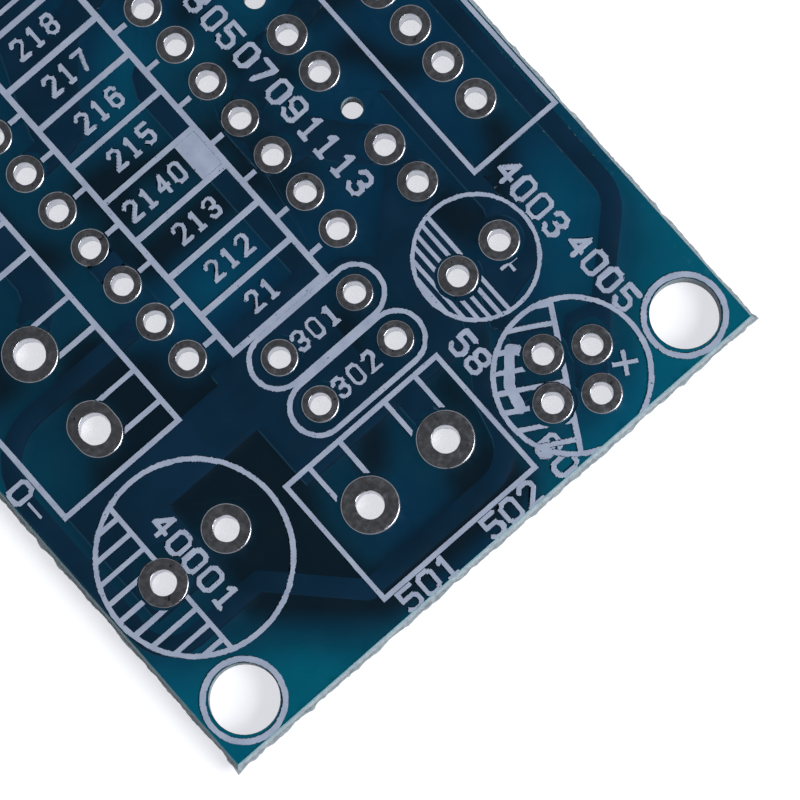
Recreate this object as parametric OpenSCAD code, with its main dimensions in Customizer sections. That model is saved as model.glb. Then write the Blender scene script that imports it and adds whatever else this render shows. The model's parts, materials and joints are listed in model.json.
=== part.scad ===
// Bare through-hole circuit board for a single-channel audio amplifier.
// X runs across the board, Y along it and Z up; the origin is under the middle of the board.
// Drawings are made with Y counted from the near edge, and on_board() moves them into place.

/* [Board] */
// Width of the board across its snapped edges
board_w = 35; // [35:0.5:46]
// Length of the board across its snapped edges
board_l = 51; // [51:0.5:66]
// Thickness over both solder masks
board_t = 1.6; // [1:0.1:2.4]
// Width of the sloping score mark beyond the mask on each edge
score_w = 0.2; // [0.1:0.05:0.4]
// Thickness of the web that was left between the two score marks
web_t = 0.5; // [0.3:0.05:0.7]
// How far the snapped web wanders in and out
web_rough = 0.06; // [0.02:0.01:0.1]

/* [Layers] */
// Thickness of the copper foil
copper_t = 0.035; // [0.018:0.001:0.07]
// Thickness of the solder mask over copper
mask_over_copper_t = 0.03; // [0.015:0.005:0.05]
// How far the mask stands higher over copper than over bare laminate
mask_step = 0.02; // [0.01:0.001:0.03]
// Thickness of the solder coat on the pads
tin_t = 0.02; // [0.005:0.005:0.025]
// Thickness of the printed ink over a copper track
ink_t = 0.02; // [0.01:0.005:0.04]
// Wall of the plating in a hole
plating_t = 0.05; // [0.03:0.01:0.08]
// Gap between a pad and the mask round it
mask_gap = 0.04; // [0.02:0.01:0.08]
// Gap between copper and a pad of another circuit
isolation = 0.3; // [0.2:0.01:0.5]

/* [Mounting holes] */
// Diameter of the corner holes
mount_d = 3.65; // [2.5:0.05:3.8]
// Distance from a hole's centre to the long edge
mount_inset_x = 2.63; // [2.5:0.01:3]
// Distance from a hole's centre to the short edge
mount_inset_y = 2.5; // [2.5:0.01:3]

/* [Lead holes and pads] */
// Hole for the leads of resistors, capacitors and the chip
lead_d = 1.15; // [0.8:0.05:1.3]
// Hole for the leads of the large capacitors
large_lead_d = 1.35; // [0.9:0.05:1.6]
// Hole for the pins of the output and input terminals
terminal_pin_d = 1.45; // [1.2:0.05:1.9]
// Hole for the pins of the supply terminal
supply_pin_d = 1.65; // [1.2:0.05:1.9]
// Pad of the resistors and the diode
axial_pad_d = 1.9; // [1.6:0.05:2.1]
// Pad of the film capacitors
film_pad_d = 1.85; // [1.6:0.05:2.1]
// Pad of the chip and the small capacitors
chip_pad_d = 2.05; // [1.6:0.05:2.1]
// Pad of the large capacitors
large_pad_d = 2.5; // [2:0.05:2.9]
// Pad of the output and input terminals
terminal_pad_d = 2.95; // [2.4:0.05:3.1]
// Pad of the supply terminal
supply_pad_d = 2.85; // [2.4:0.05:3.1]
// Width of the long pad that marks the first supply pin
first_pad_w = 2.5; // [2.2:0.05:2.9]

/* [Spacing] */
// Spacing of the leads along a row
pitch = 2.54; // [2.5:0.01:2.6]
// Distance between the two leads of a resistor
axial_span = 10.16; // [9.4:0.02:10.4]
// Distance between the two rows of the chip
chip_row_gap = 5.08; // [4.6:0.02:5.2]

/* [Printed legend] */
// Offset of the print from the drilled holes, across the board
print_shift_x = -0.07; // [-0.1:0.01:0.1]
// Offset of the print from the drilled holes, along the board
print_shift_y = -0.05; // [-0.08:0.01:0.08]
// Line width of most outlines
line_w = 0.27; // [0.15:0.01:0.3]
// Line width of the resistor boxes
box_line_w = 0.32; // [0.15:0.01:0.35]
// Line width of the small capacitor circles
fine_line_w = 0.22; // [0.15:0.01:0.25]

/* [Hidden] */
$fn = 48;
e = 0.01;                                   // overshoot of a cut past a face

// Levels, from the bottom mask up
layer_t = copper_t + mask_over_copper_t;    // mask surface over copper, from the laminate
mask_fill_t = layer_t - mask_step;          // mask surface over bare laminate
core_z0 = layer_t;
core_z1 = board_t - layer_t;
ring_t = copper_t + tin_t;
ink_z0 = core_z1 + mask_fill_t;
ink_z1 = board_t + ink_t;

// Edges that the drawings hang on; Y counts from the near edge
left = -board_w / 2;
right = board_w / 2;
far = board_l;
face_w = board_w - 2 * score_w;             // flat face between the score marks
face_l = board_l - 2 * score_w;

// Places of the footprints
mount_at = [for (x = [left + mount_inset_x, right - mount_inset_x],
                 y = [mount_inset_y, far - mount_inset_y]) [x, y]];

axial_rows = 8;
diode_row = 3;
axial_x = -0.62;
axial_y = 17.46;
function axial_row(k) = axial_y + k * pitch;
axial_l = axial_x - axial_span / 2;
axial_r = axial_x + axial_span / 2;
axial_at = [for (k = [0:axial_rows - 1], x = [axial_l, axial_r]) [x, axial_row(k)]];

film_pitch = 5.08;
film_x = 0.4;
film_y = [14.42, 11.26, axial_row(axial_rows - 1) + 3.61];
film_at = [for (y = film_y, s = [-1, 1]) [film_x + s * film_pitch / 2, y]];

chip_edge_gap = 3.3;                        // outer row to the long edge
chip_b_x = right - chip_edge_gap - chip_row_gap;
chip_a_x = right - chip_edge_gap;
chip_y = 16.61;                             // first hole of the inner row
chip_b_rows = 8;
chip_a_rows = 7;
bare_rows = [2, 5];                         // rows of the inner line that have a hole but no pad
chip_b_at = [for (k = [0:chip_b_rows - 1]) [chip_b_x, chip_y + k * pitch]];
chip_a_at = [for (k = [0:chip_a_rows - 1]) [chip_a_x, chip_y + (k + 0.5) * pitch]];
bare_at = [for (k = bare_rows) chip_b_at[k]];
chip_at = concat([for (k = [0:chip_b_rows - 1]) if (len(search(k, bare_rows)) == 0) chip_b_at[k]],
                 chip_a_at);

large_x = left + 5.49;
large_y = [9.62, 36.3];
large_span = 4.2;
large_at = [for (y = large_y, s = [-1, 1]) [large_x + s * large_span / 2, y]];

small_x = right - 8.64;
small_y = [11.58, far - 11.58];
small_span = 2.8;
small_at = [for (y = small_y, s = [-1, 1]) [small_x + s * small_span / 2, y]];

four_x = right - 8.98;
four_y = 3.96;
four_turn = -30;
four_at = [for (sx = [-1, 1], sy = [-1, 1])
           [four_x, four_y] + turned([sx, sy] * pitch / 2, four_turn)];

terminal_pitch = 5.08;
output_x = -1.085;
output_inset = 5.7;
output_at = [for (s = [-1, 1]) [output_x + s * terminal_pitch / 2, output_inset]];
input_at = [for (p = output_at) [p.x, far - p.y]];
supply_x = left + 5.9;
supply_y = 17.86;
supply_pins = 3;
supply_at = [for (k = [0:supply_pins - 1]) [supply_x, supply_y + k * terminal_pitch]];
first_pad_l = first_pad_w + 0.5;

// Every pad as [place, diameter], for the copper and the mask
PADS = concat([for (p = axial_at) [p, axial_pad_d]], [for (p = film_at) [p, film_pad_d]],
              [for (p = chip_at) [p, chip_pad_d]], [for (p = small_at) [p, chip_pad_d]],
              [for (p = four_at) [p, chip_pad_d]], [for (p = large_at) [p, large_pad_d]],
              [for (p = output_at) [p, terminal_pad_d]], [for (p = input_at) [p, terminal_pad_d]],
              [for (k = [1:supply_pins - 1]) [supply_at[k], supply_pad_d]]);

// Colours
laminate_colour = [0.62, 0.68, 0.64];
copper_colour = [0.72, 0.45, 0.25];
mask_colour = [0.02, 0.26, 0.34];
tin_colour = [0.33, 0.31, 0.32];
ink_colour = [0.64, 0.68, 0.78];

// ---- Flat drawing tools ----

function turned(p, a) = [p.x * cos(a) - p.y * sin(a), p.x * sin(a) + p.y * cos(a)];
function polar(r, a) = r * [cos(a), sin(a)];
function heading(a, b) = atan2(b.y - a.y, b.x - a.x);
function turn(a, b) = (b - a + 540) % 360 - 180;
function arc(c, r, a0, a1, step = 15) =
    let (n = ceil(abs(a1 - a0) / step)) [for (i = [0:n]) c + polar(r, a0 + (a1 - a0) * i / n)];

// The side of one corner: round where the path turns away, a sharp point where it turns in
function corner(p, h, t, r) =
    t >= 0 ? [p + polar(r / cos(t / 2), h + t / 2 + 90)]
           : let (n = ceil(-t / 45)) [for (i = [0:n]) p + polar(r, h + 90 + t * i / n)];

// The left side of a closed path, at distance r
function beside(path, r) =
    let (n = len(path))
    [for (i = [0:n - 1])
        let (h = heading(path[(i + n - 1) % n], path[i]),
             t = turn(h, heading(path[i], path[(i + 1) % n])))
        each corner(path[i], h, t, r)];

function backwards(path) = [for (i = [len(path) - 1:-1:0]) path[i]];
function there_and_back(path) = concat(path, [for (i = [len(path) - 2:-1:1]) path[i]]);

// A line of width w with round ends along an open path
module stroke(path, w) polygon(beside(there_and_back(path), w / 2));

// A line of width w along a closed path that runs clockwise
module loop(path, w) difference() {
    polygon(beside(path, w / 2));
    polygon(beside(backwards(path), w / 2));
}

module box_line(x0, y0, x1, y1, w) difference() {
    translate([x0 - w / 2, y0 - w / 2]) square([x1 - x0 + w, y1 - y0 + w]);
    translate([x0 + w / 2, y0 + w / 2]) square([x1 - x0 - w, y1 - y0 - w]);
}

module bar(x0, y0, x1, y1) translate([x0, y0]) square([x1 - x0, y1 - y0]);

module ring_2d(r, w) difference() {
    circle(r + w / 2);
    circle(r - w / 2);
}

module discs(places, d) for (p = places) translate(p) circle(d = d);

// An upright slot shape of width w and length l
module slot_2d(w, l) {
    square([w, l - w], center = true);
    for (s = [-1, 1]) translate([0, s * (l - w) / 2]) circle(d = w);
}

// ---- Digits, drawn on a grid 4 wide and 6 high ----

function glyph(c) =
    c == "0" ? [[[0, 1], [0, 5], [1, 6], [3, 6], [4, 5], [4, 1], [3, 0], [1, 0]]] :
    c == "1" ? [[[0.8, 5], [2, 6], [2, 0]], [[0.8, 0], [3.2, 0]]] :
    c == "2" ? [[[0, 5], [1, 6], [3, 6], [4, 5], [4, 4], [0, 0], [4, 0]]] :
    c == "3" ? [[[0, 5], [1, 6], [3, 6], [4, 5], [4, 4], [3, 3], [4, 2], [4, 1], [3, 0], [1, 0],
                 [0, 1]], [[1.6, 3], [3, 3]]] :
    c == "4" ? [[[3, 6], [0, 2], [4, 2]], [[3, 6], [3, 0]]] :
    c == "5" ? [[[4, 6], [0, 6], [0, 3.5], [3, 3.5], [4, 2.5], [4, 1], [3, 0], [1, 0], [0, 1]]] :
    c == "6" ? [[[4, 5], [3, 6], [1, 6], [0, 5], [0, 1], [1, 0], [3, 0], [4, 1], [4, 2.5],
                 [3, 3.5]], [[0, 3.5], [3, 3.5]]] :
    c == "7" ? [[[0, 6], [4, 6], [1.5, 0]]] :
    c == "8" ? [[[1, 3], [0, 4], [0, 5], [1, 6], [3, 6], [4, 5], [4, 4], [3, 3]],
                [[1, 0], [0, 1], [0, 2], [1, 3], [3, 3], [4, 2], [4, 1], [3, 0]]] :
               [[[0, 1], [1, 0], [3, 0], [4, 1], [4, 5], [3, 6], [1, 6], [0, 5], [0, 3.5],
                 [1, 2.5]], [[1, 2.5], [4, 2.5]]];

function is_closed(c) = c == "0" || c == "8";

// A number centred on the origin; h and w are those of the stroke's middle. The offset by
// nothing melts strokes that cross into one outline.
module number(text_digits, h, w, step, line) offset(delta = 0) {
    n = len(text_digits);
    for (i = [0:n - 1])
        for (path = glyph(text_digits[i])) {
            points = [for (p = path) [p.x * w / 4 - w / 2 + (i - (n - 1) / 2) * step,
                                      p.y * h / 6 - h / 2]];
            if (is_closed(text_digits[i])) loop(points, line);
            else stroke(points, line);
        }
}

module small_number(digits, at) translate(at) number(digits, 1, 0.56, 1, 0.2);
module large_number(digits, at, angle = 0) translate(at) rotate(angle)
    number(digits, 1.2, 0.78, 1.22, 0.25);

// ---- The board's own outline ----

// The snapped edge: a rectangle whose sides wander in and out at short steps
web_step = 0.6;
function wander(a, b, side, seed) =
    let (n = floor(norm(b - a) / web_step), r = rands(-web_rough, web_rough, n, seed))
    [for (i = [0:n - 1]) a + (b - a) * i / n + side * r[i]];
web_outline = concat(wander([left, 0], [right, 0], [0, 1], 11),
                     wander([right, 0], [right, far], [1, 0], 23),
                     wander([right, far], [left, far], [0, 1], 37),
                     wander([left, far], [left, 0], [1, 0], 41));
groove_w = score_w - web_rough - 0.02;      // run of the slope, clear of the snapped web

// Section of the scored slab, w wide at the web
module slab_section(w) {
    z0 = (board_t - web_t) / 2;
    z1 = (board_t + web_t) / 2;
    half = w / 2 - score_w;
    polygon([[-half, core_z0], [half, core_z0], [half + groove_w, z0], [half + groove_w, z1],
             [half, core_z1], [-half, core_z1], [-half - groove_w, z1], [-half - groove_w, z0]]);
}

module face_2d() translate([-face_w / 2, score_w]) square([face_w, face_l]);
module open_holes_2d() {
    discs(mount_at, mount_d);
    discs(bare_at, lead_d);
}

module on_board() translate([0, -board_l / 2, 0]) children();

module base_laminate() color(laminate_colour) on_board() difference() {
    union() {
        intersection() {
            rotate([90, 0, 0]) translate([0, 0, -board_l - 1])
                linear_extrude(board_l + 2) slab_section(board_w);
            translate([-board_w / 2 - 1, board_l / 2, 0]) rotate([90, 0, 90])
                linear_extrude(board_w + 2) slab_section(board_l);
        }
        translate([0, 0, (board_t - web_t) / 2]) linear_extrude(web_t) polygon(web_outline);
    }
    translate([0, 0, -1]) linear_extrude(board_t + 2) {
        open_holes_2d();
        drilled_2d();
    }
}

// Holes that carry plating, at their drilled size
module drilled_2d() {
    wall = 2 * plating_t;
    discs(concat(axial_at, film_at, chip_at, small_at, four_at), lead_d + wall);
    discs(large_at, large_lead_d + wall);
    discs(concat(output_at, input_at), terminal_pin_d + wall);
    discs(supply_at, supply_pin_d + wall);
}

// ---- Plated holes with a pad on each face ----

module eyelet(hole_d, pad_d) {
    profile = [[hole_d / 2, core_z0 - ring_t], [pad_d / 2, core_z0 - ring_t], [pad_d / 2, core_z0],
               [hole_d / 2 + plating_t, core_z0], [hole_d / 2 + plating_t, core_z1],
               [pad_d / 2, core_z1], [pad_d / 2, core_z1 + ring_t],
               [hole_d / 2, core_z1 + ring_t]];
    rotate_extrude() polygon(profile);
}

module eyelets(places, hole_d, pad_d) color(tin_colour) on_board()
    for (p = places) translate(p) eyelet(hole_d, pad_d);

// The first supply pin has a long pad
module long_eyelet() difference() {
    union() {
        cylinder(d = supply_pin_d + 2 * plating_t, h = board_t - 2 * (layer_t - ring_t));
        for (z = [0, core_z1 - core_z0 + ring_t])
            translate([0, 0, z]) linear_extrude(ring_t) slot_2d(first_pad_w, first_pad_l);
    }
    translate([0, 0, -1]) cylinder(d = supply_pin_d, h = board_t + 2);
}

module axial_pads() eyelets(axial_at, lead_d, axial_pad_d);
module chip_pads() eyelets(chip_at, lead_d, chip_pad_d);
module film_capacitor_pads() eyelets(film_at, lead_d, film_pad_d);
module large_capacitor_pads() eyelets(large_at, large_lead_d, large_pad_d);
module small_capacitor_pads() eyelets(small_at, lead_d, chip_pad_d);
module four_hole_capacitor_pads() eyelets(four_at, lead_d, chip_pad_d);
module output_terminal_pads() eyelets(output_at, terminal_pin_d, terminal_pad_d);
module input_terminal_pads() eyelets(input_at, terminal_pin_d, terminal_pad_d);
module supply_terminal_pads() {
    eyelets([for (k = [1:supply_pins - 1]) supply_at[k]], supply_pin_d, supply_pad_d);
    color(tin_colour) on_board() translate(concat(supply_at[0], core_z0 - ring_t)) long_eyelet();
}

// ---- Copper ----

function near_any(p, places) = len([for (q = places) if (norm(q - p) < 0.1) 1]) > 0;

// Clears every pad: flush with those in joined, isolated from the rest
module clear_pads(joined) difference() {
    children();
    for (p = PADS)
        translate(p[0]) circle(d = p[1] + (near_any(p[0], joined) ? 0 : 2 * isolation));
    translate(supply_at[0])
        if (near_any(supply_at[0], joined)) slot_2d(first_pad_w, first_pad_l);
        else slot_2d(first_pad_w + 2 * isolation, first_pad_l + 2 * isolation);
    discs(mount_at, mount_d + 2 * isolation);
    discs(bare_at, lead_d + 2 * isolation);
}

// Tracks are drawn at their width plus a margin g on each side, so that a pour can keep clear.
// The offset by nothing melts tracks that cross into one outline.
track_w = 0.97;
wide_w = 1.25;
power_w = 1.6;
edge_gap = 0.77;                            // middle of a border track to the snapped edge

// The signal's way round the left edge and under the output terminal
module border_line(g) {
    x = left + edge_gap;
    y = 6.5;
    bend = 2.05;
    run_y = 2.47;
    up_bend = 2.43;
    stroke(concat([axial_at[2], [axial_l - 1.3, axial_row(1) + 0.45]],
                  arc([x + 3.2, axial_row(1) - 2.75], 3.2, 90, 180),
                  arc([x + bend, y + bend], bend, 180, 270),
                  [[-10.4, y], [-6.5, run_y]],
                  arc([1.5, run_y + up_bend], up_bend, 270, 350),
                  [[4.3, 6], [6.2, 8.6], small_at[0]]), track_w + 2 * g);
}
border_ends = [axial_at[2], small_at[0]];
module border_track_2d() clear_pads(border_ends) border_line(0);

// Supply down the right edge to the four-hole capacitor
module supply_line(g) {
    x = right - 1.27;
    bend = 2.4;
    stroke(concat([chip_at[12], [x, chip_at[12].y - 2.6]],
                  arc([x - bend, 10.6], bend, 0, -48, 12),
                  [[four_at[3].x + 1.45, four_at[3].y + 1], [four_at[2].x + 0.65, four_at[2].y + 1.1],
                   four_at[2]]), track_w + 2 * g);
}

// The supply track widens round its two pads of the four-hole capacitor
module supply_fill(g) offset(delta = g)
    polygon([four_at[3] + [1.45, 1.6], four_at[3] + [1.8, 0.67], four_at[2] + [1, 0.75],
             four_at[2] + [0.6, -0.1], four_at[2] + [-0.6, -0.2], four_at[2] + [-0.8, 1.1],
             four_at[3] + [-1.25, 0], four_at[3] + [-0.95, 1.2], four_at[3] + [0, 2]]);
supply_ends = [four_at[2], four_at[3], chip_at[12]];
module supply_track_2d() clear_pads(supply_ends) offset(delta = 0) {
    supply_line(0);
    supply_fill(0);
}

// The other top tracks; each starts and ends on a pad, but for one that widens its neighbour
LINKS = [[[supply_at[1], [-10.3, 24.1], [-9.45, 24.75], [-9.1, 25.7], [-9.1, 31],
           [large_at[3].x, 33.4], large_at[3]], power_w],
         [[[-2.9, 30.9], [-2, 33.4], [-1.2, 35.4], [-1.2, 37.6]], 2.8],
         [[axial_at[4], axial_at[6]], 1.5],
         [[axial_at[5], axial_at[7]], 2.1],
         [[axial_at[5], [6.4, 22.2], [7.6, 20.6], chip_at[1]], 2],
         [[axial_at[7], [6.4, 25.9], [7.8, 26.9], chip_at[3]], power_w],
         [[axial_at[10], [axial_l + 2.6, axial_row(5) + 0.1], [0.4, 34.4],
           [axial_r - 1.2, axial_row(7)], axial_at[15]], power_w],
         [[axial_at[14], [axial_l, film_y[2] - 1.4], film_at[4]], track_w],
         [[chip_at[3], [chip_b_x + 2.4, 27.4], [chip_a_x - 1.9, 29.4], chip_at[11]], wide_w],
         [[film_at[5], [film_at[5].x, far - 8.6], input_at[1]], wide_w],
         [[small_at[2], [small_at[2].x - 2.6, far - 9.4], [input_at[1].x + 2.6, far - 5.7], input_at[1]],
          track_w]];
link_ends = [for (t = LINKS) each [t[0][0], t[0][len(t[0]) - 1]]];
module link_lines(g) offset(delta = 0) for (t = LINKS) stroke(t[0], t[1] + 2 * g);
module top_link_tracks_2d() clear_pads(link_ends) difference() {
    link_lines(0);
    border_line(isolation);
    supply_line(isolation);
}

// Ground: a pour that reaches up through the resistors' boxes and beside the chip
strip_x = [1.2, 2.45];
column_x = [chip_b_x + 1.63, chip_b_x + 2.63];
pour_x = [left + 1.9, large_x + 0.6];       // around the first pad of the large capacitor
module top_ground_2d()
    clear_pads([film_at[1], film_at[3], large_at[0], chip_at[0], output_at[1],
                four_at[0], four_at[1]]) difference() {
        union() {
            polygon([[pour_x[0], 8.3], [pour_x[1], 8.3], [pour_x[1], 12.4], [-5.35, 12.4],
                     [-5.35, 8.6], [4.4, 8.6], [5.4, 8.9], [small_x - 1.66, 8.2],
                     [small_x + 0.14, 8.9], [small_x + 2.34, 9.4], [small_x + 3.09, 11.2],
                     [column_x[1], 12.6], [column_x[1], 20.6], [column_x[0], 21.4],
                     [column_x[0], 13.3], [small_x + 0.54, 10.4], [small_x - 0.46, 12.4],
                     [small_x - 0.46, 15.1], [chip_b_x + 0.78, 15.7], [chip_b_x + 0.88, 17.4],
                     [chip_b_x - 0.82, 18.1], [4.9, 15.1], [3.6, 16.2], [strip_x[1], 16.4],
                     [strip_x[1], 30.8], [1.7, 30.3], [strip_x[0], 29.3], [strip_x[0], 17.2],
                     [-3.9, 17.2], [-3.9, 16.05], [-5.35, 16.05], [-5.35, 15.35],
                     [pour_x[0], 15.35]]);
            stroke([output_at[1], [output_at[1].x, 8.9]], wide_w);
            polygon([[5.5, 5.2], [5.9, 3.9], [6.3, 2.7], [7.2, 2.4], [8.3, 3], [8.9, 4.4],
                     [9.2, 6.6], [8.4, 7.2], [7, 7.1], [6.2, 6.6]]);
            stroke([[7.75, 6.9], [7.75, 8.9]], track_w);
        }
        border_line(isolation);
        supply_line(isolation);
        supply_fill(isolation);
        link_lines(isolation);
    }

module top_copper_2d() {
    top_ground_2d();
    border_track_2d();
    supply_track_2d();
    top_link_tracks_2d();
}

BOTTOM_LINKS = [[[axial_at[4], [-2.6, 22.6], [-0.4, 22.6], axial_at[5]], 1.8],
                [[axial_at[4], [-5.1, 23.8], axial_at[6]], 2],
                [[axial_at[3], [4, 22.5], axial_at[7]], 2.7],
                [[axial_at[6], [-3.2, 25.1], [-2.6, 26.6], axial_at[8]], 1.5],
                [[axial_at[8], [-2.4, 27.3], [0.4, 25.6], axial_at[7]], 1.5],
                [[output_at[0], [-1.4, 8], [1.2, 13.4], film_at[1]], power_w],
                [[small_at[1], [small_x + 0.4, 14.3], chip_at[0]], 2],
                [[chip_at[6], [chip_a_x - 0.3, 15.6], [chip_a_x - 2.4, 13.4], small_at[1]], 1.4],
                [[chip_at[0], chip_at[1]], 1.7],
                [[chip_at[7], [chip_a_x - 2.1, 21.6], [chip_b_x + 2.2, 24.2], chip_at[2]], wide_w],
                [[chip_at[9], [chip_a_x - 2.4, 26.8], chip_at[3]], wide_w],
                [[axial_at[9], [6.4, 27.5], [7.4, 25.6], chip_at[2]], wide_w],
                [[axial_at[11], [axial_r + 2.2, 31.6], chip_at[4]], wide_w],
                [[axial_at[13], [axial_r + 2, 34.6], chip_at[5]], wide_w],
                [[chip_at[12], [chip_a_x + 0.4, far - 14], small_at[3]], wide_w],
                [[supply_at[1], [left + 2.9, 23.2], [left + 2.9, 27.6], supply_at[2]], 2.6],
                [[supply_at[2], [left + 3.4, 31.4], large_at[3] - [0, 3], large_at[3]], power_w]];
bottom_ends = [for (t = BOTTOM_LINKS) each [t[0][0], t[0][len(t[0]) - 1]]];
module bottom_link_lines(g) offset(delta = 0) for (t = BOTTOM_LINKS) stroke(t[0], t[1] + 2 * g);
module bottom_link_tracks_2d() clear_pads(bottom_ends) bottom_link_lines(0);

module bottom_ground_2d()
    clear_pads([large_at[1], output_at[1], supply_at[0], large_at[2], input_at[0]]) difference() {
        union() {
            polygon([[left + 3.6, 15], [left + 4.9, 17.4], [left + 6.4, 21.9], [-8.3, 22],
                     [-7.9, 19.4], [-5.6, 18.4], [-4.6, 16.5], [-4.4, 12], [-4.9, 8.8],
                     [-6.1, 6.4], [-5.9, 3], [0, 3.05], [0.2, 4.6], [2.9, 4.6], [3.4, 3],
                     [3.4, 1.1], [2.9, 0.65], [-6.6, 0.65], [large_x - 0.2, 5.6],
                     [pour_x[1], 6.9], [pour_x[1], 12.4]]);
            polygon([[left + 1.2, 33], [left + 2.6, far - 9.4], [left + 6, far - 5.4],
                     [-6.4, far - 3.6], [-4.4, far - 8.4], [-5.6, 40], [axial_l - 2.2, 33],
                     [left + 6.4, 31.4]]);
            polygon([[2.6, 8.4], [2.7, 6.4], [2.9, 4.2], [3.5, 4.2], [3.7, 6.4], [4.2, 8.4]]);
            stroke([[-8.6, 40], [-8.6, 27.4], [axial_l - 1.6, 25.6]], 1.5);
        }
        bottom_link_lines(isolation);
    }

module bottom_copper_2d() {
    bottom_ground_2d();
    bottom_link_tracks_2d();
}

module top_foil() color(copper_colour) on_board() translate([0, 0, core_z1])
    linear_extrude(copper_t) children();
module bottom_foil() color(copper_colour) on_board() translate([0, 0, core_z0 - copper_t])
    linear_extrude(copper_t) children();

module top_ground_copper() top_foil() top_ground_2d();
module border_track() top_foil() border_track_2d();
module supply_track() top_foil() supply_track_2d();
module top_link_tracks() top_foil() top_link_tracks_2d();
module bottom_ground_copper() bottom_foil() bottom_ground_2d();
module bottom_link_tracks() bottom_foil() bottom_link_tracks_2d();

// ---- Solder mask ----

module mask_openings_2d() {
    for (p = PADS) translate(p[0]) circle(d = p[1] + 2 * mask_gap);
    translate(supply_at[0]) slot_2d(first_pad_w + 2 * mask_gap, first_pad_l + 2 * mask_gap);
    open_holes_2d();
}

// Mask lying on a face at z = 0, thicker where it climbs over the foil in children()
module mask_layer() difference() {
    union() {
        linear_extrude(mask_fill_t) face_2d();
        linear_extrude(layer_t) children();
    }
    translate([0, 0, -e]) linear_extrude(copper_t + e) children();
    translate([0, 0, -1]) linear_extrude(2) mask_openings_2d();
}

module top_solder_mask() color(mask_colour) on_board() translate([0, 0, core_z1])
    mask_layer() top_copper_2d();
module bottom_solder_mask() color(mask_colour) on_board() translate([0, 0, core_z0])
    mirror([0, 0, 1]) mask_layer() bottom_copper_2d();

// ---- Printed legend ----

pad_print_gap = 0.08;                       // print kept off the pads, each side
small_print_gap = 0.2;                     // the same round the small capacitors
terminal_print_gap = 0.25;                  // the same round the end terminals

// Ink over the mask: it fills the low ground and lies thin over the tracks
module ink() color(ink_colour) on_board() difference() {
    translate([0, 0, ink_z0]) linear_extrude(ink_z1 - ink_z0) intersection() {
        translate([print_shift_x, print_shift_y]) children();
        face_2d();
    }
    translate([0, 0, ink_z0 - e]) linear_extrude(board_t - ink_z0 + e) top_copper_2d();
}

ring_line_w = 0.3;
ring_d = mount_d + 0.55;
module mounting_rings_2d() for (p = mount_at) translate(p) ring_2d(ring_d / 2, ring_line_w);
module mounting_hole_rings() ink() mounting_rings_2d();

box_half = 3.08;                            // resistor box, middle to side line
stub_end = 3.95;                            // end of the lead stubs
module axial_frame_2d() {
    for (s = [-1, 1])
        bar(axial_x + s * box_half - box_line_w / 2, axial_y - pitch / 2 - box_line_w / 2,
            axial_x + s * box_half + box_line_w / 2,
            axial_row(axial_rows - 1) + pitch / 2 + box_line_w / 2);
    for (k = [0:axial_rows]) {
        y = axial_y + (k - 0.5) * pitch;
        bar(axial_x - box_half, y - box_line_w / 2, axial_x + box_half, y + box_line_w / 2);
    }
    for (k = [0:axial_rows - 1], s = [-1, 1])
        bar(axial_x + min(s * stub_end, s * box_half), axial_row(k) - 0.14,
            axial_x + max(s * stub_end, s * box_half), axial_row(k) + 0.14);
}
module axial_outlines() ink() axial_frame_2d();

band_w = 1.3;
module diode_band() ink() bar(
    axial_x + box_half - box_line_w / 2 - band_w, axial_row(diode_row) - pitch / 2 + box_line_w / 2,
    axial_x + box_half - box_line_w / 2, axial_row(diode_row) + pitch / 2 - box_line_w / 2);

chip_end = 1.51;                            // end row to the end of the chip's outline
chip_outline_x = [right - 5.81, right - 0.33];
module chip_outline() ink() box_line(
    chip_outline_x[0], chip_b_at[0].y - chip_end,
    chip_outline_x[1], chip_b_at[chip_b_rows - 1].y + chip_end, line_w);

film_body_w = 8.48;
film_body_t = 3.2;
module film_bodies_2d() for (y = film_y) translate([film_x, y]) rotate(90) difference() {
    slot_2d(film_body_t, film_body_w);
    slot_2d(film_body_t - 2 * line_w, film_body_w - 2 * line_w);
}
module film_capacitor_outlines() ink() difference() {
    film_bodies_2d();
    axial_frame_2d();
}

// A round can seen from above: the side left of the chord is hatched
module hatched_can(r, chord_x, hatch_step, hatch_shift) {
    ring_2d(r, line_w);
    intersection() {
        circle(r);
        union() {
            bar(chord_x - line_w / 2, -r, chord_x + line_w / 2, r);
            for (k = [-4:4])
                translate([-r, k * hatch_step + hatch_shift - line_w / 2])
                    square([r + chord_x, line_w]);
        }
    }
}

large_r = 5.03;
hatch_step = 1.016;
module large_capacitor_outlines() ink() difference() {
    for (y = large_y) translate([large_x, y]) hatched_can(large_r, -1.59, hatch_step, 0);
    discs(large_at, large_pad_d + 2 * pad_print_gap);
    mounting_rings_2d();
    supply_body_2d();
}

four_r = 4.03;
four_chord = -0.35;
four_hatch_shift = -0.22;
four_print_gap = 0.16;                      // wider here, it cuts the chord line
module four_hole_can_2d() difference() {
    union() {
        translate([four_x, four_y]) rotate(four_turn)
            hatched_can(four_r, four_chord, hatch_step, four_hatch_shift);
        overprint_2d();
    }
    discs(four_at, chip_pad_d + 2 * four_print_gap);
    mounting_rings_2d();
}
// Print that ran together across the hatching
module overprint_2d() translate([four_x, four_y]) {
    stroke([[-1.2, 2.75], [-1.5, 3.1], [-2.75, 1.75], [-3.1, 0.45]], 0.55);
    stroke([[-3.7, -1.9], [-3.55, -2.2]], 0.6);
}
module four_hole_capacitor_outline() ink() four_hole_can_2d();

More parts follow.
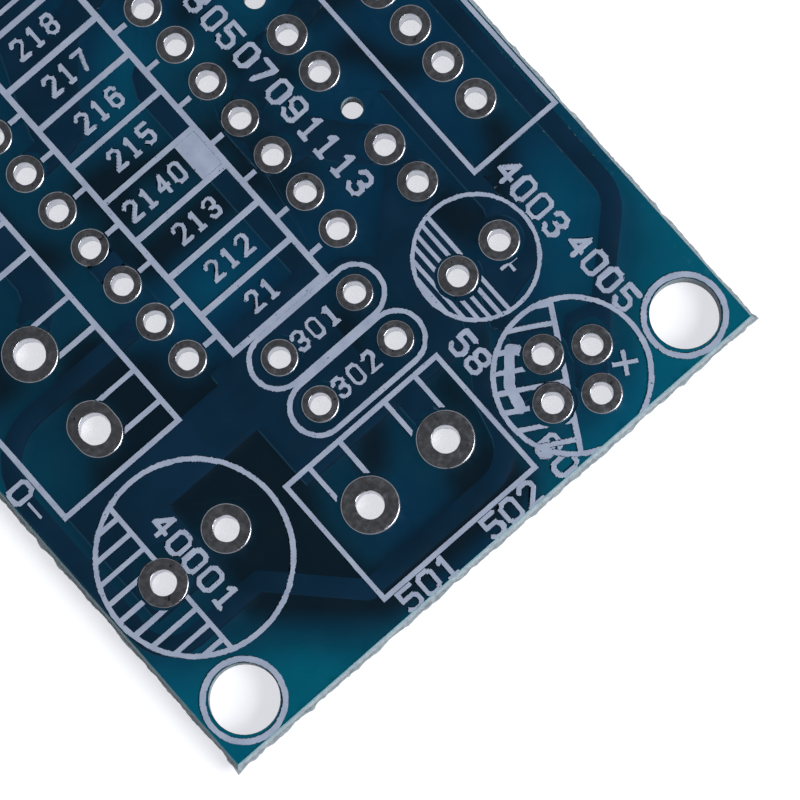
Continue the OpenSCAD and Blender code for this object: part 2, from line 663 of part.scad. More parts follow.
small_r = 3.25;
small_hatch = 0.508;
small_can_shift = 0.18;                     // the can's print sits off its pads
module small_cans_2d() difference() {
    for (y = small_y) translate([small_x, y + small_can_shift]) {
        ring_2d(small_r, fine_line_w);
        intersection() {
            circle(small_r);
            union() {
                for (k = [1:5]) bar(-k * small_hatch - fine_line_w / 2, -small_r,
                                    -k * small_hatch + fine_line_w / 2, small_r);
                bar(-small_r, -small_r, -2.9, small_r);
            }
        }
    }
    discs(small_at, chip_pad_d + 2 * small_print_gap);
}
module small_capacitor_outlines() ink() small_cans_2d();

// A terminal block from above, first pin at the origin, wire entry towards -Y
terminal_front = 4.02;
terminal_back = 3.57;
supply_end = 2.41;                          // end pin to the end of the block
end_block_end = 2.54;
module terminal_body(pins, end, cut_d) difference() {
    last = (pins - 1) * terminal_pitch;
    union() {
        box_line(-end, -terminal_front, last + end, terminal_back, line_w);
        for (k = [0:pins - 1], s = [-1, 1])
            bar(k * terminal_pitch + s * 1.015 - line_w / 2, 0,
                k * terminal_pitch + s * 1.015 + line_w / 2, terminal_back);
    }
    for (k = [0:pins - 1]) {
        translate([k * terminal_pitch, 0]) circle(d = cut_d);
        bar(k * terminal_pitch - 1.3, -0.1, k * terminal_pitch + 1.3, 0.3);
    }
}
module supply_body_2d() translate(supply_at[supply_pins - 1]) rotate(-90)
    terminal_body(supply_pins, supply_end, supply_pad_d + terminal_print_gap);
module output_body_2d() translate(output_at[0])
    terminal_body(2, end_block_end, terminal_pad_d + 2 * terminal_print_gap);
module input_body_2d() translate(input_at[1]) rotate(180)
    terminal_body(2, end_block_end, terminal_pad_d + 2 * terminal_print_gap);
module supply_terminal_outline() ink() supply_body_2d();
module output_terminal_outline() ink() output_body_2d();
module input_terminal_outline() ink() input_body_2d();

module plus(arm, w) {
    bar(-arm, -w / 2, arm, w / 2);
    bar(-w / 2, -arm, w / 2, arm);
}
module polarity_marks() ink() difference() {
    union() {
        for (y = small_y) translate([small_x + 1.03, y - 1.16]) plus(0.52, 0.2);
        translate([four_x + 2.45, four_y - 1.28]) rotate(four_turn) plus(0.66, fine_line_w);
        stroke([[left + 0.95, 16.35], [left + 0.95, 17.2]], 0.2);
    }
    discs(small_at, chip_pad_d + 2 * small_print_gap);
}

AXIAL_NUMBERS = ["21", "212", "213", "2140", "215", "216", "217", "218"];
module position_numbers() ink() difference() {
    union() {
        for (k = [0:axial_rows - 1])
            small_number(AXIAL_NUMBERS[k],
                         [axial_x + (k == diode_row ? -0.62 : 0), axial_row(k) + 0.05]);
        for (i = [0:2]) small_number(str(301 + i), [film_x - 0.1, film_y[i]]);
        for (i = [0:1]) {
            large_number(str(40001 + i), [large_x - 0.12, large_y[i] - 0.15], -90);
            large_number(str(501 + i), [output_at[i].x - 0.3 + 0.5 * i, 0.83]);
            large_number(str(503 + i), [input_at[i].x, far - 0.83]);
        }
        large_number("4003", [small_x + 4.16, small_y[0] + 0.6], -90);
        large_number("4004", [small_x + 4.16, small_y[1] - 0.6], -90);
        large_number("4005", [four_x + 4.7, four_y + 3], -90);
        large_number("58", [four_x - 3.12, four_y + 4.3], -90);
        large_number("60", [four_x - 3.3, four_y - 2.55], -90);
        large_number("0", [left + 0.97, 17.93], -90);
    }
    output_body_2d();
    input_body_2d();
    supply_body_2d();
    four_hole_can_2d();
    mounting_rings_2d();
    discs(large_at, large_pad_d + 2 * pad_print_gap);
}

// Two-digit numbers of the chip's odd pins, beside the inner row
module pin_numbers() ink() for (k = [1:chip_b_rows - 2]) {
    pin = 2 * (chip_b_rows - k) - 1;
    large_number(str(pin < 10 ? "0" : "", pin), [chip_b_x - 2.2, chip_b_at[k].y], -90);
}

base_laminate();
top_ground_copper();
border_track();
supply_track();
top_link_tracks();
bottom_ground_copper();
bottom_link_tracks();
top_solder_mask();
bottom_solder_mask();
axial_pads();
chip_pads();
film_capacitor_pads();
large_capacitor_pads();
small_capacitor_pads();
four_hole_capacitor_pads();
output_terminal_pads();
supply_terminal_pads();
input_terminal_pads();
mounting_hole_rings();
axial_outlines();
diode_band();
chip_outline();
film_capacitor_outlines();
large_capacitor_outlines();
small_capacitor_outlines();
four_hole_capacitor_outline();
output_terminal_outline();
supply_terminal_outline();
input_terminal_outline();
polarity_marks();
position_numbers();
pin_numbers();
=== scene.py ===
import json
import math

import bpy
import numpy as np
from mathutils import Matrix, Vector, noise


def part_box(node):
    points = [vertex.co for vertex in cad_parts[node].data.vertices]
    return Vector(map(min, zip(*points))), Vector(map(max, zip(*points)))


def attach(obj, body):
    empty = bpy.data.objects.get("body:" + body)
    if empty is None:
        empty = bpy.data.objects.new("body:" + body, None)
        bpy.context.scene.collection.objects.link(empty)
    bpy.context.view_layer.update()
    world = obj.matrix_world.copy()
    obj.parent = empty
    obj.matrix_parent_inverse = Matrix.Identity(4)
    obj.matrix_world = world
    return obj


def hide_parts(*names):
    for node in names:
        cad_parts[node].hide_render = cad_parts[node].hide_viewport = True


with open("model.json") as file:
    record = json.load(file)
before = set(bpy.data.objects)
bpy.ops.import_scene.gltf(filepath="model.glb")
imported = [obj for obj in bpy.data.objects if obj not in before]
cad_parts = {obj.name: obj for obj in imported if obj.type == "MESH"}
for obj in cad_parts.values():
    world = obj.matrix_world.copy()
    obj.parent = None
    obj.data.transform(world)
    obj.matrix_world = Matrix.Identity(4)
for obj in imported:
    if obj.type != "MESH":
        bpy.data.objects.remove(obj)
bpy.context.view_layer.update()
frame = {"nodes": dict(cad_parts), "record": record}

nodes = frame["nodes"]
MM = 0.001

# Levels of the finished board in millimetres, read from the solids
CORE_LOW, CORE_HIGH = (corner.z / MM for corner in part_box("base_laminate"))
MASK_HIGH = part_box("top_solder_mask")[1].z / MM
PAD_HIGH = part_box("axial_pads")[1].z / MM
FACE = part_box("top_solder_mask")
FACE_X, FACE_Y = FACE[1].x / MM, FACE[1].y / MM
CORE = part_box("base_laminate")[1]
BOARD_X, BOARD_Y = CORE.x / MM, CORE.y / MM
MASK_STEP = 0.02                       # the mask stands this much higher over copper
SAME_LEVEL = 0.001                     # heights closer than this are one level
NEAR_LEVEL = 0.003                     # a point this near a level of the mask lies on it

TOP_COPPER = ["top_ground_copper", "border_track", "supply_track", "top_link_tracks"]
BOTTOM_COPPER = ["bottom_ground_copper", "bottom_link_tracks"]
PADS = [n for n in nodes if n.endswith("_pads")]
INK = [n for n in nodes if n.endswith(("_rings", "_outlines", "_outline", "_band",
                                       "_marks", "_numbers"))]


# ---------------------------------------------------------------- bench tools

def rest_everything():
    if bpy.context.object and bpy.context.object.mode != "OBJECT":
        bpy.ops.object.mode_set(mode="OBJECT")
    bpy.ops.object.select_all(action="DESELECT")


def pick_up(piece):
    """Only this piece is selected and active."""
    rest_everything()
    piece.select_set(True)
    bpy.context.view_layer.objects.active = piece


def into_edit(piece, mode="FACE"):
    pick_up(piece)
    bpy.ops.object.mode_set(mode="EDIT")
    bpy.ops.mesh.select_mode(type=mode)


def out_of_edit():
    bpy.ops.object.mode_set(mode="OBJECT")


def choose(piece, faces=None, edges=None):
    """Selects faces or edges by number while the piece is in edit mode."""
    bpy.ops.mesh.select_mode(type="EDGE" if faces is None else "FACE")
    bpy.ops.mesh.select_all(action="DESELECT")
    out_of_edit()
    mesh = piece.data
    parts, wanted = (mesh.edges, edges) if faces is None else (mesh.polygons, faces)
    flags = np.zeros(len(parts), bool)
    flags[list(wanted)] = True
    parts.foreach_set("select", flags)
    bpy.ops.object.mode_set(mode="EDIT")


def copy_of(node, name, whole_faces=True):
    """A working copy of a CAD piece in millimetres, its flat triangles joined to whole faces."""
    piece = bpy.data.objects.new(name, nodes[node].data.copy())
    piece.data.name = name
    bpy.context.collection.objects.link(piece)
    piece.data.materials.clear()
    piece.data.transform(Matrix.Scale(1 / MM, 4))
    into_edit(piece)
    bpy.ops.mesh.select_all(action="SELECT")
    bpy.ops.mesh.remove_doubles(threshold=0.0005)
    if whole_faces:
        bpy.ops.mesh.dissolve_limited(angle_limit=math.radians(0.5))
    out_of_edit()
    return piece


def finish(piece, material, replaced=(), smooth=None):
    """Back to metres, material on, and onto the board."""
    piece.data.transform(Matrix.Scale(MM, 4))
    piece.data.materials.clear()
    piece.data.materials.append(material)
    pick_up(piece)
    if smooth is not None:
        bpy.ops.object.shade_smooth_by_angle(angle=math.radians(smooth))
    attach(piece, "root")
    if replaced:
        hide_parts(*replaced)
    return piece


def points_of(mesh):
    co = np.empty(len(mesh.vertices) * 3)
    mesh.vertices.foreach_get("co", co)
    return co.reshape(-1, 3)


def place_points(mesh, co):
    mesh.vertices.foreach_set("co", co.ravel())
    mesh.update()


def facing(mesh):
    """Where each face points, and its middle."""
    n = np.empty(len(mesh.polygons) * 3)
    mesh.polygons.foreach_get("normal", n)
    c = np.empty(len(mesh.polygons) * 3)
    mesh.polygons.foreach_get("center", c)
    return n.reshape(-1, 3), c.reshape(-1, 3)


def loops_of(mesh):
    """Which face and which edge each corner of the mesh belongs to."""
    count = np.empty(len(mesh.polygons), np.int32)
    mesh.polygons.foreach_get("loop_total", count)
    edge = np.empty(len(mesh.loops), np.int32)
    mesh.loops.foreach_get("edge_index", edge)
    return np.repeat(np.arange(len(count)), count), edge


def edge_uses(mesh):
    """How many faces meet at each edge."""
    return np.bincount(loops_of(mesh)[1], minlength=len(mesh.edges))


def edge_lengths(mesh):
    """The two end points of each edge, and its length."""
    ends = np.empty(len(mesh.edges) * 2, np.int32)
    mesh.edges.foreach_get("vertices", ends)
    ends = ends.reshape(-1, 2)
    co = points_of(mesh)
    return ends, np.linalg.norm(co[ends[:, 0]] - co[ends[:, 1]], axis=1)


MOST_HALVINGS = 9


def split_long_edges(piece, wanted, longest, evened=None):
    """Halves the long edges of the wanted faces, again and again, until all are short.
    New triangles are then turned to their best shape, only on the evened faces if they are given."""
    mesh = piece.data
    into_edit(piece)
    choose(piece, faces=np.where(wanted(*facing(mesh)))[0])
    bpy.ops.mesh.quads_convert_to_tris(quad_method="SHORTEST_DIAGONAL", ngon_method="CLIP")
    out_of_edit()
    for _ in range(MOST_HALVINGS):
        face, edge = loops_of(mesh)
        used = np.unique(edge[wanted(*facing(mesh))[face]])
        ends, length = edge_lengths(mesh)
        long = used[length[used] > longest]
        if not len(long):
            break
        into_edit(piece)
        choose(piece, edges=long)
        bpy.ops.mesh.subdivide(number_cuts=1, ngon=False)
        out_of_edit()
        into_edit(piece)
        choose(piece, faces=np.where(wanted(*facing(mesh)))[0])
        bpy.ops.mesh.quads_convert_to_tris(quad_method="SHORTEST_DIAGONAL")
        out_of_edit()
        into_edit(piece)
        choose(piece, faces=np.where((evened or wanted)(*facing(mesh)))[0])
        bpy.ops.mesh.beautify_fill(angle_limit=0.02)
        out_of_edit()


def rim_of(mesh, faces):
    """The points on the border of a patch of faces."""
    patch, uses = set(int(f) for f in faces), {}
    for face in mesh.polygons:
        if face.index in patch:
            for key in face.edge_keys:
                uses[key] = uses.get(key, 0) + 1
    return sorted({point for key, count in uses.items() if count == 1 for point in key})


# ---------------------------------------------------------------- light in the board

CELL = 0.1                             # of the grid that the copper's cover is drawn on
COLUMNS, ROWS = int(2 * BOARD_X / CELL) + 1, int(2 * BOARD_Y / CELL) + 1
GRID_X = -BOARD_X + (np.arange(COLUMNS) + 0.5) * CELL
GRID_Y = -BOARD_Y + (np.arange(ROWS) + 0.5) * CELL


def shadow_of(names):
    """Where these flat pieces cover the board, on a fine grid."""
    covered = np.zeros((COLUMNS, ROWS), bool)
    for name in names:
        mesh = nodes[name].data
        mesh.calc_loop_triangles()
        co = points_of(mesh) / MM
        corners = np.empty(len(mesh.loop_triangles) * 3, np.int32)
        mesh.loop_triangles.foreach_get("vertices", corners)
        for tri in co[corners.reshape(-1, 3)][:, :, :2]:
            a, b, c = tri
            area = (b[0] - a[0]) * (c[1] - a[1]) - (b[1] - a[1]) * (c[0] - a[0])
            if area < 1e-9:
                continue
            i0, i1 = np.searchsorted(GRID_X, [tri[:, 0].min(), tri[:, 0].max()])
            j0, j1 = np.searchsorted(GRID_Y, [tri[:, 1].min(), tri[:, 1].max()])
            if i0 == i1 or j0 == j1:
                continue
            x, y = GRID_X[i0:i1, None], GRID_Y[None, j0:j1]
            u = ((x - a[0]) * (c[1] - a[1]) - (y - a[1]) * (c[0] - a[0])) / area
            v = ((b[0] - a[0]) * (y - a[1]) - (b[1] - a[1]) * (x - a[0])) / area
            covered[i0:i1, j0:j1] |= (u >= 0) & (v >= 0) & (u + v <= 1)
    return covered


def blurred(field, width):
    """The field softened over this many millimetres, as light is in the laminate."""
    reach = int(3 * width / CELL)
    wide = np.pad(field.astype(float), reach, mode="edge")
    across = np.fft.fftfreq(wide.shape[0], CELL)[:, None]
    along = np.fft.rfftfreq(wide.shape[1], CELL)[None, :]
    bell = np.exp(-2 * (math.pi * width) ** 2 * (across ** 2 + along ** 2))
    return np.fft.irfft2(np.fft.rfft2(wide) * bell, wide.shape)[reach:-reach, reach:-reach]


def read_field(field, co):
    """The field's value at each point, taken between the grid's cells."""
    x = np.clip((co[:, 0] - GRID_X[0]) / CELL, 0, COLUMNS - 1.001)
    y = np.clip((co[:, 1] - GRID_Y[0]) / CELL, 0, ROWS - 1.001)
    i, j = x.astype(int), y.astype(int)
    u, v = x - i, y - j
    return ((1 - u) * (1 - v) * field[i, j] + u * (1 - v) * field[i + 1, j]
            + (1 - u) * v * field[i, j + 1] + u * v * field[i + 1, j + 1])


def store(piece, name, values, on="POINT"):
    layer = piece.data.attributes.new(name, "FLOAT", on)
    layer.data.foreach_set("value", np.asarray(values, np.float32))


top_cover = shadow_of(TOP_COPPER)
bottom_cover = shadow_of(BOTTOM_COPPER)
pad_cover = shadow_of(PADS)
both_covers = top_cover | bottom_cover | pad_cover
SPREAD = 1.5                           # how far light wanders sideways in the laminate
openness = 1 - blurred(both_covers, SPREAD)


# ---------------------------------------------------------------- materials

class Recipe:
    """A material's nodes, added one by one and joined by name."""

    def __init__(self, name):
        self.material = bpy.data.materials.new(name)
        self.material.use_nodes = True
        self.tree = self.material.node_tree
        self.tree.nodes.clear()
        self.out = self.add("ShaderNodeOutputMaterial")
        self.skin = self.add("ShaderNodeBsdfPrincipled")
        self.link(self.skin, "BSDF", self.out, "Surface")
        self.place = self.add("ShaderNodeTexCoord")

    def add(self, kind, **settings):
        node = self.tree.nodes.new(kind)
        for key, value in settings.items():
            setattr(node, key, value)
        return node

    def link(self, a, out, b, into):
        self.tree.links.new(a.outputs[out], b.inputs[into])

    def speckle(self, scale, detail=3.0, rough=0.5, stretch=(1, 1, 1), shift=(0, 0, 0)):
        """Noise at so many grains a millimetre."""
        fit = self.add("ShaderNodeMapping")
        fit.inputs["Scale"].default_value = stretch
        fit.inputs["Location"].default_value = shift
        grain = self.add("ShaderNodeTexNoise")
        grain.inputs["Scale"].default_value = scale / MM
        grain.inputs["Detail"].default_value = detail
        grain.inputs["Roughness"].default_value = rough
        self.link(self.place, "Object", fit, "Vector")
        self.link(fit, "Vector", grain, "Vector")
        return grain

    def ramp(self, source, out, stops):
        """Turns a number into one of a run of colours."""
        ramp = self.add("ShaderNodeValToRGB")
        bar = ramp.color_ramp.elements
        while len(bar) < len(stops):
            bar.new(0.5)
        for stop, (at, colour) in zip(bar, stops):
            stop.position = at
            stop.color = (*colour, 1)
        self.link(source, out, ramp, "Fac")
        return ramp

    def span(self, source, out, low, high, to_low, to_high):
        """Turns one range of numbers into another."""
        node = self.add("ShaderNodeMapRange")
        for key, value in (("From Min", low), ("From Max", high), ("To Min", to_low), ("To Max", to_high)):
            node.inputs[key].default_value = value
        self.link(source, out, node, "Value")
        return node

    def mix(self, factor, a, b, how="MIX"):
        """Mixes two colours; each is a node and its socket, or a plain colour."""
        node = self.add("ShaderNodeMix", data_type="RGBA", blend_type=how, clamp_result=False)
        for value, socket in ((factor, node.inputs[0]), (a, node.inputs[6]), (b, node.inputs[7])):
            if isinstance(value, (int, float)):
                socket.default_value = value
            elif isinstance(value[0], (int, float)):
                socket.default_value = (*value, 1)
            else:
                self.tree.links.new(value[0].outputs[value[1]], socket)
        return node

    def bump(self, source, out, height, strength=1.0, under=None):
        """Relief of this height in millimetres, on top of another if one is given."""
        node = self.add("ShaderNodeBump")
        node.inputs["Strength"].default_value = strength
        node.inputs["Distance"].default_value = height * MM
        self.link(source, out, node, "Height")
        if under:
            self.link(under, "Normal", node, "Normal")
        return node

    def paint(self, **values):
        """Numbers that are the same all over, set on the surface's own sockets."""
        for key, value in values.items():
            self.skin.inputs[key.replace("_", " ")].default_value = value


def plain(r, g, b):
    """A colour as the eye names it, 0 to 255, made linear."""
    return tuple(((c / 255 + 0.055) / 1.055) ** 2.4 if c > 10 else c / 255 / 12.92 for c in (r, g, b))


def mask_material(name, above):
    """Dark blue-green mask: slate over copper, teal where light comes through the laminate."""
    m = Recipe(name)
    open_light = m.add("ShaderNodeAttribute", attribute_name="open_light")
    far_copper_shade = m.add("ShaderNodeAttribute", attribute_name="far_copper_shade")
    cloud = m.speckle(0.22, 2.0)
    drift = m.speckle(0.09, 1.0, shift=(0.004, 0.002, 0))
    # open light plus a little cloudiness
    wander = m.span(cloud, "Fac", 0.3, 0.7, -0.06, 0.05)
    glow = m.add("ShaderNodeMath", operation="ADD")
    m.link(open_light, "Fac", glow, 0)
    m.link(wander, "Result", glow, 1)
    teal = m.ramp(glow, "Value", [(0.0, plain(7, 37, 53)), (0.42, plain(7, 47, 66)),
                                  (0.62, plain(7, 51, 72)), (0.8, plain(5, 65, 86)),
                                  (0.93, plain(2, 80, 102)), (1.0, plain(0, 87, 108))])
    blue = m.ramp(glow, "Value", [(0.0, plain(8, 32, 54)), (0.6, plain(7, 45, 73)),
                                  (0.8, plain(5, 60, 90)), (1.0, plain(3, 80, 112))])
    hue = m.span(drift, "Fac", 0.45, 0.62, 0.0, 0.6)
    clear = m.mix((hue, "Result"), (teal, "Color"), (blue, "Color"))
    # painted shade where copper on the far side keeps the light in the laminate from coming through
    shade = m.span(far_copper_shade, "Fac", 0.1, 0.9, 0.0, 0.94)
    low = m.mix((shade, "Result"), (clear, "Result"), plain(10, 26, 37))
    slate_drift = m.ramp(m.speckle(0.3, 2.0, shift=(0.01, 0, 0)), "Fac",
                         [(0.35, plain(10, 36, 54)), (0.65, plain(13, 42, 65))])
    height = m.add("ShaderNodeSeparateXYZ")
    m.link(m.place, "Object", height, "Vector")
    raised_at = (MASK_HIGH - MASK_STEP * 0.75) * MM
    raised = m.add("ShaderNodeMath", operation="GREATER_THAN" if above else "LESS_THAN")
    m.link(height, "Z", raised, 0)
    raised.inputs[1].default_value = raised_at if above else (MASK_STEP * 0.75) * MM
    whole = m.mix((raised, "Value"), (low, "Result"), (slate_drift, "Color"))
    # painted light at the score-cut edge and painted shade round the corner holes
    rim_light = m.add("ShaderNodeAttribute", attribute_name="rim_light")
    pale = m.span(rim_light, "Fac", 0.15, 0.9, 0.0, 1.0)
    dark = m.span(rim_light, "Fac", -0.1, -0.8, 0.0, 1.0)
    edged = m.mix((pale, "Result"), (whole, "Result"), plain(70, 150, 158))
    edged = m.mix((dark, "Result"), (edged, "Result"), plain(14, 30, 32))
    # painted highlight and painted shade on the mask's slopes at copper edges
    edge_glint_and_shade = m.add("ShaderNodeAttribute", attribute_name="edge_glint_and_shade")
    glint = m.span(edge_glint_and_shade, "Fac", 0.0, 1.0, 0.0, 0.8)
    gloom = m.span(edge_glint_and_shade, "Fac", 0.0, -1.0, 0.0, 0.5)
    edged = m.mix((glint, "Result"), (edged, "Result"), plain(30, 62, 82))
    edged = m.mix((gloom, "Result"), (edged, "Result"), plain(8, 20, 30))
    m.link(edged, "Result", m.skin, "Base Color")
    peel = m.speckle(1.6, 2.0)
    ripple = m.bump(peel, "Fac", 0.004, 0.5)
    m.link(ripple, "Normal", m.skin, "Normal")
    rough = m.span(m.speckle(0.7, 4.0), "Fac", 0.3, 0.7, 0.22, 0.36)
    m.link(rough, "Result", m.skin, "Roughness")
    m.paint(Specular_IOR_Level=0.12)
    return m.material


def solder_material():
    """Grey tin coat, finely mottled; it looks dark wherever it mirrors the dark ceiling."""
    m = Recipe("tinned_solder")
    mottle = m.speckle(3.2, 6.0, 0.65)
    tone = m.ramp(mottle, "Fac", [(0.3, plain(170, 174, 182)), (0.5, plain(183, 187, 196)),
                                  (0.7, plain(198, 202, 212))])
    nicks = m.ramp(m.speckle(2.4, 3.0, 0.6, shift=(0.003, 0.001, 0)), "Fac",
                   [(0.66, (1, 1, 1)), (0.7, (0.3, 0.29, 0.3))])
    colour = m.mix(1.0, (tone, "Color"), (nicks, "Color"), "MULTIPLY")
    m.link(colour, "Result", m.skin, "Base Color")
    grain = m.bump(m.speckle(7.0, 5.0, 0.7), "Fac", 0.005, 0.3)
    dents = m.bump(m.speckle(2.2, 2.0), "Fac", 0.012, 0.25, grain)
    m.link(dents, "Normal", m.skin, "Normal")
    rough = m.span(m.speckle(3.5, 3.0), "Fac", 0.3, 0.7, 0.16, 0.3)
    m.link(rough, "Result", m.skin, "Roughness")
    m.paint(Metallic=1.0)
    return m.material


def ink_material():
    """Pale blue-grey printed ink with pinholes."""
    m = Recipe("pale_legend_ink")
    tone = m.ramp(m.speckle(1.1, 4.0), "Fac", [(0.3, plain(146, 158, 182)), (0.7, plain(164, 175, 197))])
    pinholes = m.ramp(m.speckle(5.5, 1.0, shift=(0.002, 0.005, 0)), "Fac",
                      [(0.735, (0, 0, 0)), (0.76, (1, 1, 1))])
    colour = m.mix((pinholes, "Color"), (tone, "Color"), plain(70, 84, 110))
    m.link(colour, "Result", m.skin, "Base Color")
    weave = m.bump(m.speckle(7.0, 3.0), "Fac", 0.006, 0.5)
    m.link(weave, "Normal", m.skin, "Normal")
    rough = m.span(m.speckle(4.0, 2.0), "Fac", 0.3, 0.7, 0.5, 0.7)
    m.link(rough, "Result", m.skin, "Roughness")
    m.paint(Specular_IOR_Level=0.3)
    return m.material


def laminate_material():
    """Glass-fibre epoxy: bluish on the score marks, pale and torn on the snapped web."""
    m = Recipe("snapped_glass_epoxy")
    tone = m.ramp(m.speckle(3.0, 6.0, 0.7), "Fac",
                  [(0.25, plain(112, 122, 130)), (0.42, plain(150, 162, 172)),
                   (0.6, plain(172, 183, 190)), (0.8, plain(196, 204, 206))])
    fibres = m.ramp(m.speckle(5.0, 2.0, stretch=(1, 1, 7)), "Fac",
                    [(0.4, (0.76, 0.75, 0.72)), (0.6, (1, 1, 1))])
    torn_face = m.mix(0.6, (tone, "Color"), (fibres, "Color"), "MULTIPLY")
    scored = m.ramp(m.speckle(2.0, 3.0, stretch=(1, 1, 0.2)), "Fac",
                    [(0.3, plain(96, 146, 160)), (0.7, plain(136, 172, 186))])
    height = m.add("ShaderNodeSeparateXYZ")
    m.link(m.place, "Object", height, "Vector")
    # clean and bluish near the top face, torn and pale below
    deep = m.span(height, "Z", 1.28 * MM, 1.42 * MM, 0.0, 1.0)
    colour = m.mix((deep, "Result"), (torn_face, "Result"), (scored, "Color"))
    m.link(colour, "Result", m.skin, "Base Color")
    torn = m.bump(m.speckle(6.0, 5.0, 0.7, stretch=(1, 1, 4)), "Fac", 0.05, 0.7)
    m.link(torn, "Normal", m.skin, "Normal")
    m.paint(Roughness=0.75, Specular_IOR_Level=0.25)
    return m.material


def copper_material():
    """Rolled copper foil under the mask."""
    m = Recipe("rolled_copper")
    tone = m.ramp(m.speckle(1.5, 4.0, stretch=(1, 6, 1)), "Fac",
                  [(0.3, plain(178, 108, 72)), (0.7, plain(206, 134, 92))])
    m.link(tone, "Color", m.skin, "Base Color")
    rough = m.span(m.speckle(2.0, 3.0), "Fac", 0.3, 0.7, 0.3, 0.5)
    m.link(rough, "Result", m.skin, "Roughness")
    m.link(m.bump(m.speckle(8.0, 3.0), "Fac", 0.004, 0.5), "Normal", m.skin, "Normal")
    m.paint(Metallic=1.0)
    return m.material


TOP_MASK = mask_material("top_blue_green_mask", True)
BOTTOM_MASK = mask_material("bottom_blue_green_mask", False)
SOLDER = solder_material()
LEGEND = ink_material()
LAMINATE = laminate_material()
COPPER = copper_material()


# ---------------------------------------------------------------- solder masks

SLOPE = 0.075                          # run of the mask's slope at a copper edge
SLOPE_PIECE = 0.3                      # longest straight stretch of that slope
SLOPE_HALVINGS = 7                     # of the stretches that are longer
MASK_LEAN = 0.25                       # sine of that slope's angle, about
LIP = 0.045                            # rounded lip round each opening
LIP_DROP = 0.022
COPPER_BLUR = 0.45                     # the painted shade of the other side's copper is this soft


def slope_copper_edges(piece, up):
    """The mask climbs over a copper edge in a short slope, not in a step."""
    mesh = piece.data
    high = MASK_HIGH if up > 0 else 0.0
    low = high - up * MASK_STEP
    for _ in range(SLOPE_HALVINGS):
        n, c = facing(mesh)
        step_wall = (abs(n[:, 2]) < 0.1) & ((c[:, 2] - low) * (c[:, 2] - high) < 0)
        face, edge = loops_of(mesh)
        ends, length = edge_lengths(mesh)
        co = points_of(mesh)
        level = abs(co[ends[:, 0], 2] - co[ends[:, 1], 2]) < SAME_LEVEL
        used = np.unique(edge[step_wall[face]])
        into_edit(piece)
        choose(piece, edges=used[level[used] & (length[used] > SLOPE_PIECE)])
        bpy.ops.mesh.subdivide(number_cuts=1)
        out_of_edit()
    co = points_of(mesh)
    lean = np.zeros((len(co), 2))
    at_opening = []
    for face in mesh.polygons:
        z = co[list(face.vertices), 2]
        if abs(face.normal.z) > 0.1:
            continue
        if np.ptp(z) > MASK_STEP + NEAR_LEVEL:
            at_opening.extend(face.vertices)
        elif abs(z - high).min() < NEAR_LEVEL and abs(z - low).min() < NEAR_LEVEL:
            foot = [v for v in face.vertices if abs(co[v, 2] - low) < NEAR_LEVEL]
            run = np.linalg.norm(np.ptp(co[foot, :2], axis=0))
            lean[foot] += np.array(face.normal[:2]) * run
    lean[at_opening] = 0
    length = np.linalg.norm(lean, axis=1)
    moved = length > 1e-9
    co[moved, :2] += lean[moved] / length[moved, None] * SLOPE
    place_points(mesh, co)


def round_the_lips(piece, up):
    """The mask's outer surface turns down at every opening and at the board's edge."""
    mesh = piece.data
    n, c = facing(mesh)
    outer = np.where(n[:, 2] * up > 0.3)[0]
    rim = rim_of(mesh, outer)
    into_edit(piece)
    choose(piece, faces=outer)
    bpy.ops.mesh.inset(thickness=LIP, depth=0, use_boundary=True, use_even_offset=False)
    out_of_edit()
    co = points_of(mesh)
    co[rim, 2] -= up * LIP_DROP
    place_points(mesh, co)
    return co[rim, :2]


def refill_flats(piece, up):
    """Fills the flat parts of the outer surface afresh from their moved outlines."""
    mesh = piece.data
    high = MASK_HIGH if up > 0 else 0.0
    for level in (high, high - up * MASK_STEP):
        co = points_of(mesh)
        flat = [f.index for f in mesh.polygons if f.normal.z * up > 0.998
                and abs(np.median(co[list(f.vertices), 2]) - level) < SAME_LEVEL]
        into_edit(piece)
        choose(piece, faces=flat)
        bpy.ops.mesh.delete(type="ONLY_FACE")
        out_of_edit()
        bare = np.where(edge_uses(mesh) == 0)[0]
        if len(bare):
            into_edit(piece)
            choose(piece, edges=bare)
            bpy.ops.mesh.delete(type="EDGE")
            out_of_edit()
        open_edges = np.where(edge_uses(mesh) == 1)[0]
        into_edit(piece)
        choose(piece, edges=open_edges)
        bpy.ops.mesh.fill(use_beauty=True)
        out_of_edit()
    into_edit(piece)
    bpy.ops.mesh.select_all(action="SELECT")
    bpy.ops.mesh.normals_make_consistent(inside=False)
    out_of_edit()


def outer_face(up):
    return lambda n, c: n[:, 2] * up > 0.3


def level_face(up):
    return lambda n, c: n[:, 2] * up > 0.9999


